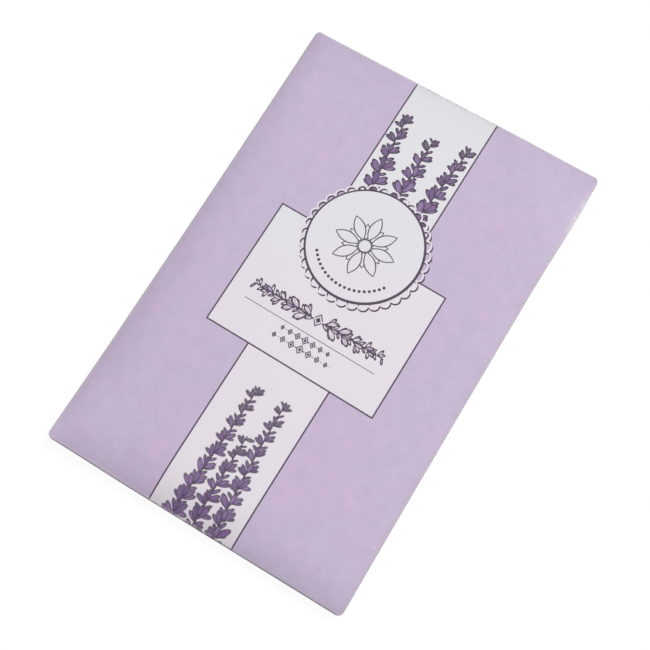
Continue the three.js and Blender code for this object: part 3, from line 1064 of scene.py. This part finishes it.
def printed_paper(layout, colours, form):
    """The envelope's outer face: lilac ground, white band, label, medallion and bud sprays."""
    material, tree, shader = new_material("Printed paper")
    uv = tree.nodes.new("ShaderNodeUVMap")
    uv.uv_map = BLANK_MAP
    place = Field(uv.outputs["UV"])
    x, y = plane_parts(place)

    def cloud(scale, detail):
        return cloud_group().place_in(tree, Place=place, Scale=scale, Detail=detail)["Cloud"]

    def lay(mask, tint):
        """Lays a colour over what is there: print, wear, and painted shade."""
        nonlocal paint
        paint = mixed(mask, paint, tint)

    drift, blots = cloud(0.03, 3), cloud(0.45, 4)
    rosier = (1 - distance((x - 15) / 62, (y + 32) / 78)).held()
    hue = (drift * 0.6 + cloud(0.12, 2) * 0.42 + blots * 0.22 - rosier * 0.3 - 0.08).held()
    paint = mixed(hue, colours.lilac_rosy, colours.lilac_blue)
    lay(cloud(0.012, 1) * 0.4, colours.lilac)
    mottle = blots * 0.4 + cloud(1.1, 2) * 0.33 + cloud(0.19, 2) * 0.65 - 0.035
    lay(mottle, darkened(colours.lilac, 0.91))
    cooler = ((y - x * 0.3 - 5) / 20).held()
    coolness = drift * 0.3 + blots * 0.2 + cooler * 0.6
    white = mixed(coolness, colours.white, colours.white_cool)

    from_band = x - layout.band_middle - y * layout.band_lean
    in_band = y * layout.band_widening + layout.band_half - abs(from_band)
    band = edge_mask(in_band)
    lay(band, white)
    is_upper = y.math("GREATER_THAN", 0)
    for order, pair in enumerate(SPRAYS):
        base_x, base_y, angle, reach, bend = (
            is_upper * (high - low) + low for high, low in zip(*pair)
        )
        spray = spray_group().place_in(
            tree, X=x, Y=y, Base_X=base_x, Base_Y=base_y, Angle=angle * math.radians(1),
            Length=reach, Bend=bend, Size=is_upper * 0.1 + 1.35, Seed=is_upper * 40 + 7.0 * order,
        )
        petal = mixed(spray["Tone"], colours.bud_dark, colours.bud_light)
        petal = mixed(spray["Tip"] * 0.8, petal, colours.bud_tip)
        lay(spray["Stem"] * band, colours.leaf)
        lay(spray["Bud"] * band, petal)
        lay(spray["Outline"] * band * (is_upper * 0.2 + 0.8), colours.leaf)
    lay(line_mask(in_band, layout.line), colours.ink)

    label_x = x - layout.label_x - (y - layout.label_y) * layout.label_lean
    label_y = y - layout.label_y + (x - layout.label_x) * layout.label_drop
    from_middle = abs(label_x)
    in_label = (layout.label_half_width - from_middle).lesser(
        layout.label_half_height - abs(label_y)
    )
    lay(edge_mask(in_label), white)
    lay(line_mask(in_label, layout.line), colours.ink)
    lay(line_mask(label_y + RULE_DROP, 0.24) * edge_mask(RULE_HALF - from_middle), colours.ink)
    laurel_y = label_y + LAUREL_DROP
    laurel = spray_group().place_in(
        tree, X=from_middle, Y=laurel_y, Base_X=2.6, Length=23.3, Size=1.15, Seed=50
    )
    lay(laurel["Bud"], mixed(laurel["Tone"] * 2, colours.bud_light, colours.white))
    lay(laurel["Stem"], colours.ink)
    lay(laurel["Outline"], colours.ink)
    stud = garland_group().place_in(tree, X=label_x, Y=laurel_y, Half=1.5, Pitch=6)
    lay(stud["Ink"], colours.ink)
    for drop, half, pitch, height in SMALL_ROWS:
        row = garland_group().place_in(
            tree, X=label_x, Y=label_y + drop, Half=half, Pitch=pitch, Height=height, Line=0.36
        )
        lay(row["Ink"], colours.ink)

    ring_x, ring_y = x - layout.ring_x, y - layout.ring_y
    shift = layout.ring_shift
    for off_x, off_y, line, tint in (
        (3.7 * shift, 2.7 * shift, 0.6, colours.ink),
        (0.15, 0.1, 0.55, colours.white),
    ):
        lace = scallop_group().place_in(
            tree, X=ring_x - off_x, Y=ring_y + off_y, Count=layout.scallops,
            Ring=layout.ring_radius + LACE_OUT, Scallop=SCALLOP, Line=line,
        )
        lay(lace["Outline"], tint)
    from_dark = distance(ring_x - shift * 0.7, ring_y + shift * 0.7)
    lay(edge_mask(layout.ring_radius + layout.ring_ink - from_dark), colours.ink)
    far = distance(ring_x, ring_y)
    lay(edge_mask(layout.ring_radius - far), white)
    lay(rosette_group().place_in(tree, X=ring_x, Y=ring_y)["Outline"], colours.ink)
    bead = ring_x.math("ARCTAN2", ring_y * -1) / BEAD_STEP
    from_bead = distance(bead.off_whole() * far * BEAD_STEP, far - BEAD_RING)
    lay(edge_mask(BEAD - from_bead) * edge_mask(BEADS_EACH_SIDE + 0.5 - abs(bead)), colours.ink)

    side_fold, end_fold = (
        abs(abs(part) - (fold + arc / 3) / MM)
        for part, fold, arc in zip((x, y), form.folds, form.arcs)
    )
    from_fold = side_fold.lesser(end_fold)
    # Grey along the folds: print rubbed thin there, and painted shade of the bends
    wear_and_shade = fold_wear_and_shade_group().place_in(tree, Place=place, From_fold=from_fold, Reach=1.2, Amount=0.65)
    lay(wear_and_shade["Wear"], colours.worn_and_shaded)
    lay(edge_mask(cloud(0.6, 3) - 0.9, 0.06) * (1 - from_fold / 6).held() * 0.35, colours.core)
    lay(edge_mask(1 - distance(x - 57, (y - 72) / 10), 0.6) * cloud(0.5, 3) * 0.6, colours.core)
    half_x, half_y = (fold / MM for fold in form.folds)
    for inside, reach, amount in (
        # distance from a fold, reach and strength of the shade inside it
        (half_y - y, 20, 0.07),
        (half_y + y, 12, x / half_x * 0.07 + 0.075),
        (half_x + x, 9, y / half_y * 0.09 + 0.04),
        (half_x - x, 14, y / half_y * -0.015 + 0.015),
    ):
        lay((1 - inside / reach).held() ** 1.5 * amount, (0, 0, 0, 1))

    fibres = fibre_group().place_in(tree, Place=place, Scale=1.1)
    feed_all(
        shader, Base_Color=paint, Roughness=fibres["Tone"] * 0.16 + 0.5, Specular_IOR_Level=0.35
    )
    bump(shader, fibres["Height"], 0.35, 0.02 * MM)
    return material


def bare_paper(name, colours, scale):
    """Unprinted paper, inside the envelope and at its cut edges."""
    material, tree, shader = new_material(name)
    fibres = fibre_group().place_in(tree, Place=object_place(tree), Scale=scale)
    paint = mixed(fibres["Tone"], darkened(colours.core, 0.88), colours.core)
    feed_all(shader, Base_Color=paint, Roughness=0.75)
    bump(shader, fibres["Height"], 0.3, 0.02 * MM)
    return material


def dried_glue(colours):
    """Thin dried glue, slightly uneven and glossy."""
    material, tree, shader = new_material("Dried glue")
    cloud = cloud_group().place_in(tree, Place=object_place(tree), Scale=260, Detail=3)["Cloud"]
    paint = mixed(cloud, darkened(colours.glue, 0.82), colours.glue)
    feed_all(shader, Base_Color=paint, Roughness=cloud * 0.2 + 0.3)
    bump(shader, cloud, 0.4, 0.03 * MM)
    return material


def nonwoven(colours, form):
    """Porous nonwoven cloth: matted fibres with small bonded dots, pressed flat in the seal."""
    material, tree, shader = new_material("Nonwoven cloth")
    place = object_place(tree)
    x, y = (part / MM for part in plane_parts(place))
    fibres = fibre_group().place_in(tree, Place=place, Scale=1500)
    inside_x, inside_y = (half / MM - abs(part) for half, part in zip(form.pouch_half(), (x, y)))
    sealed = edge_mask(form.sizes.pouch_seal / MM - inside_x.lesser(inside_y), 0.1)
    bonds, weld = dot_lattice(x, y, 1.1, 0.3), dot_lattice(x, y, 1.6, 0.55)
    pressed = bonds * (1 - sealed) + weld * sealed
    paint = mixed(fibres["Tone"], darkened(colours.cloth, 0.86), colours.cloth)
    paint = mixed(pressed * 0.6, paint, darkened(colours.cloth, 0.8))
    feed_all(shader, Base_Color=paint, Roughness=0.9)
    bump(shader, fibres["Height"] * 0.6 - pressed, 0.5, 0.05 * MM)
    return material


GRAIN_TONE = "Grain tone"


def granular(colours):
    """Crushed scented granules, each in its own tone."""
    material, tree, shader = new_material("Scented granules")
    attribute = tree.nodes.new("ShaderNodeAttribute")
    attribute.attribute_name = GRAIN_TONE
    grit = fibre_group().place_in(tree, Place=object_place(tree), Scale=1800)
    tone = (Field(attribute.outputs["Fac"]) * 0.7 + grit["Tone"] * 0.4).held()
    feed_all(
        shader, Base_Color=mixed(tone, colours.grain_dark, colours.grain_light), Roughness=0.9
    )
    bump(shader, grit["Height"], 0.6, 0.1 * MM)
    return material


@cache
def current_form():
    """The sachet's form, worked out once."""
    return Form(bpy.context.scene.sachet_sizes)


# Operators


class SACHET_OT_stage(bpy.types.Operator):
    """Add the floor, the light and the camera"""

    bl_idname = "sachet.stage"
    bl_label = "Stage"

    CAMERA_AZIMUTH = math.radians(38.94)
    CAMERA_ELEVATION = math.radians(73.43)
    CAMERA_ROLL = math.radians(8.035)
    CAMERA_DISTANCE = 449.43 * MM
    CAMERA_TARGET = Vector((2.59, -6.56, 3.6)) * MM
    FOCAL_PIXELS = 1320.4
    IMAGE_PIXELS = 650
    SENSOR = 36  # millimetres
    FLOOR_SIZE = 6
    FLOOR_GLOW = 0.94
    FILL = 0.3
    KEY_PLACE = Vector((2.1, 3.5, 4.5))
    KEY_SIZE = 3.6
    KEY_POWER = 355

    def execute(self, context):
        self.add_floor()
        self.add_light(context.scene)
        self.add_camera(context.scene)
        context.scene.view_settings.view_transform = "Standard"
        return {"FINISHED"}

    def add_floor(self):
        bpy.ops.object.select_all(action="DESELECT")
        bpy.ops.mesh.primitive_plane_add(size=self.FLOOR_SIZE)
        floor = bpy.context.active_object
        floor.name = "floor"
        material, tree, shader = new_material("White floor")
        feed_all(
            shader,
            Base_Color=(0.08, 0.08, 0.08, 1),
            Roughness=1,
            Specular_IOR_Level=0,
            Emission_Color=(1, 1, 1, 1),
            Emission_Strength=self.seen(tree) * self.FLOOR_GLOW,
        )
        floor.data.materials.append(material)

    def add_light(self, scene):
        scene.world = bpy.data.worlds.new("Studio")
        scene.world.use_nodes = True
        tree = scene.world.node_tree
        strength = self.seen(tree) * (1 - self.FILL) + self.FILL
        feed_all(tree.nodes["Background"], Color=(1, 1, 1, 1), Strength=strength)
        lamp = bpy.data.lights.new("key", "AREA")
        lamp.shape = "SQUARE"
        lamp.size = self.KEY_SIZE
        lamp.energy = self.KEY_POWER
        softbox = self.add_object(lamp, self.KEY_PLACE)
        softbox.rotation_euler = (-self.KEY_PLACE).to_track_quat("-Z", "Y").to_euler()

    def seen(self, tree):
        """1 for a ray of the camera, of a reflection or through glass, and 0 for the others."""
        path = tree.nodes.new("ShaderNodeLightPath")
        camera, glossy, transmitted = (
            Field(path.outputs[name])
            for name in ("Is Camera Ray", "Is Glossy Ray", "Is Transmission Ray")
        )
        return camera.greater(glossy).greater(transmitted)

    def add_object(self, data, place):
        """An object for a lamp or a camera."""
        made = bpy.data.objects.new(data.name, data)
        made.location = place
        bpy.context.collection.objects.link(made)
        return made

    def add_camera(self, scene):
        data = bpy.data.cameras.new("Camera")
        data.sensor_width = self.SENSOR
        data.lens = self.FOCAL_PIXELS / self.IMAGE_PIXELS * self.SENSOR
        data.clip_start = 0.01
        flat = math.cos(self.CAMERA_ELEVATION)
        back = Vector((
            math.sin(self.CAMERA_AZIMUTH) * flat,
            -math.cos(self.CAMERA_AZIMUTH) * flat,
            math.sin(self.CAMERA_ELEVATION),
        ))
        camera = self.add_object(data, self.CAMERA_TARGET + back * self.CAMERA_DISTANCE)
        upright = (-back).to_track_quat("-Z", "Y")
        camera.rotation_mode = "QUATERNION"
        camera.rotation_quaternion = upright @ Quaternion((0, 0, 1), -self.CAMERA_ROLL)
        scene.camera = camera


class SACHET_OT_envelope(bpy.types.Operator):
    """Add the folded paper envelope with its print"""

    bl_idname = "sachet.envelope"
    bl_label = "Paper envelope"

    def execute(self, context):
        scene, form = context.scene, current_form()
        colours = scene.sachet_colours
        piece = envelope_blank(form)
        store_blank_map(piece)
        set_places(piece, form.folded(*vertex_places(piece)[:, :2].T))
        for material in (
            printed_paper(scene.sachet_print, colours, form),
            bare_paper("Inside of the paper", colours, 900),
            bare_paper("Cut edge of the paper", colours, 2500),
        ):
            piece.data.materials.append(material)
        thicken(piece, scene.sachet_sizes.paper, materials=2)
        lay_out_bake_map(piece, form)
        finish_piece(piece, "printed_paper", "envelope")
        return {"FINISHED"}


class SACHET_OT_glue(bpy.types.Operator):
    """Add the three strips of dried glue in the back seam and under the flaps"""

    bl_idname = "sachet.glue"
    bl_label = "Glue strips"

    WOBBLE = 0.004  # unevenness of the strips' edges, as a share of their place
    WOBBLE_PACE = 400

    def execute(self, context):
        sizes, form = context.scene.sachet_sizes, current_form()
        material = dried_glue(context.scene.sachet_colours)
        half = sizes.seam_lap / 2 - sizes.glue_inset
        reach = form.fold_y - sizes.corner - sizes.glue_inset
        strip = add_grid(
            "seam_glue_strip", np.linspace(-half, half, 9), np.linspace(-reach, reach, 161)
        )
        self.finish(strip, vertex_places(strip), 1.5, material, "centre_seam_glue")
        reach = form.fold_x - sizes.shoulder
        for side, name, depth in (
            (-1, "bottom_flap_glue", sizes.bottom_flap),
            (1, "top_flap_glue", sizes.top_flap),
        ):
            tip = depth - sizes.glue_inset
            distances = np.linspace(tip - sizes.flap_glue, tip, 11)
            strip = add_grid(f"{name}_strip", np.linspace(-reach, reach, 81), distances)
            places = vertex_places(strip)
            away = places[:, 1].copy()
            places[:, 0] *= form.flap_share(depth, away)
            places[:, 1] = side * (form.fold_y - away)
            if side > 0:
                edit(strip, bpy.ops.mesh.flip_normals)
            self.finish(strip, places, 0.5, material, name)
        return {"FINISHED"}

    def finish(self, strip, places, layer, material, node):
        """Lays a strip between two layers of the back, with uneven edges, and finishes it."""
        form = current_form()
        places[:, 2] = form.back(layer, places[:, 0], places[:, 1])
        places[:, :2] *= 1 + self.WOBBLE * np.sin(places[:, 1::-1] * self.WOBBLE_PACE)
        set_places(strip, places)
        strip.data.materials.append(material)
        thicken(strip, form.sizes.glue)
        finish_piece(strip, "glue", node)


class SACHET_OT_pouch(bpy.types.Operator):
    """Add the two nonwoven plies of the inner pouch"""

    bl_idname = "sachet.pouch"
    bl_label = "Nonwoven pouch"

    def execute(self, context):
        sizes, form = context.scene.sachet_sizes, current_form()
        material = nonwoven(context.scene.sachet_colours, form)
        half_x, half_y = halves = form.pouch_half()
        lines = [mirrored(graded(half, sizes.cell * 0.6, sizes.cell), half) for half in halves]
        for side, name in ((1, "inner_pouch_front_ply"), (-1, "inner_pouch_back_ply")):
            ply = add_grid(name.replace("inner_pouch", "nonwoven"), *lines)
            places = vertex_places(ply)
            places[:, 2] = form.ply(side, places[:, 0], places[:, 1])
            set_places(ply, places)
            ply.data.materials.append(material)
            thicken(ply, sizes.ply)
            finish_piece(ply, "nonwoven", name)
        return {"FINISHED"}


class SACHET_OT_granules(bpy.types.Operator):
    """Add the bed of scented granules inside the pouch"""

    bl_idname = "sachet.granules"
    bl_label = "Scented granules"

    CELL = 0.9 * MM
    LUMP = 0.55 * MM
    PATCH = 200 * MM  # after which the scattered grains repeat

    def execute(self, context):
        sizes, form = context.scene.sachet_sizes, current_form()
        inset = sizes.pouch_seal + sizes.fill_margin
        halves = [half - inset for half in form.pouch_half()]
        lines = [
            np.linspace(-half, half, int(round(2 * half / self.CELL)) + 1) for half in halves
        ]
        bed = add_skin("granule_bed", *lines)
        x, y = np.split(vertex_places(bed), 2)[0][:, :2].T
        near_x, near_y = (
            rise((half - np.abs(part)) / sizes.fill_margin) for half, part in zip(halves, (x, y))
        )
        gap = sizes.ply / 2 + sizes.fill_clearance
        middle = (form.ply(1, x, y) + form.ply(-1, x, y)) / 2
        heights, tones = [], []
        for side in (1, -1):
            dome, tone = self.grains(x, y, sizes.granule, seed=side + 2)
            depth = np.abs(form.ply(side, x, y) - middle) - gap - self.LUMP * (1 - dome)
            heights.append(middle + side * np.maximum(depth, 0) * near_x * near_y)
            tones.append(tone)
        values = bed.data.attributes.new(GRAIN_TONE, "FLOAT", "POINT")
        values.data.foreach_set("value", np.concatenate(tones))
        close_skin(bed, *heights)
        bed.data.materials.append(granular(context.scene.sachet_colours))
        finish_piece(bed, "granules", "granule_fill", angle=75)
        return {"FINISHED"}

    def grains(self, x, y, size, seed):
        """Height and tone of the nearest of many scattered grains."""
        draw = np.random.default_rng(seed)
        cells = 2 + int(self.PATCH / size)
        shift = draw.uniform(0.15, 0.85, (cells, cells, 2))
        tones = draw.uniform(0, 1, (cells, cells))
        column = np.floor(x / size).astype(int)
        row = np.floor(y / size).astype(int)
        nearest = np.full(len(x), np.inf)
        tone = np.zeros(len(x))
        for a in (-1, 0, 1):
            for b in (-1, 0, 1):
                i, j = (column + a) % cells, (row + b) % cells
                from_x = x - (column + a + shift[i, j, 0]) * size
                from_y = y - (row + b + shift[i, j, 1]) * size
                apart = np.hypot(from_x, from_y)
                tone = np.where(apart < nearest, tones[i, j], tone)
                nearest = np.minimum(nearest, apart)
        return np.sqrt(np.clip(1 - (nearest / (0.75 * size)) ** 2, 0, 1)), tone


OPERATORS = (
    SACHET_OT_stage,
    SACHET_OT_envelope,
    SACHET_OT_glue,
    SACHET_OT_pouch,
    SACHET_OT_granules,
)


class SACHET_PT_panel(bpy.types.Panel):
    """Sidebar panel that lists the sachet's pieces"""

    bl_idname = "SACHET_PT_panel"
    bl_label = "Sachet"
    bl_space_type = "VIEW_3D"
    bl_region_type = "UI"
    bl_category = "Sachet"

    def draw(self, context):
        for operator in OPERATORS:
            self.layout.operator(operator.bl_idname)


GROUPS = {
    "sachet_sizes": SachetSizes,
    "sachet_print": SachetPrint,
    "sachet_colours": SachetColours,
}


def register():
    for kind in (*GROUPS.values(), *OPERATORS, SACHET_PT_panel):
        bpy.utils.register_class(kind)
    for name, kind in GROUPS.items():
        setattr(bpy.types.Scene, name, bpy.props.PointerProperty(type=kind))


def unregister():
    for name in GROUPS:
        delattr(bpy.types.Scene, name)
    for kind in (SACHET_PT_panel, *reversed(OPERATORS), *reversed(GROUPS.values())):
        bpy.utils.unregister_class(kind)


def main():
    register()
    for operator in OPERATORS:
        family, name = operator.bl_idname.split(".")
        getattr(getattr(bpy.ops, family), name)()


if __name__ == "__main__":
    main()
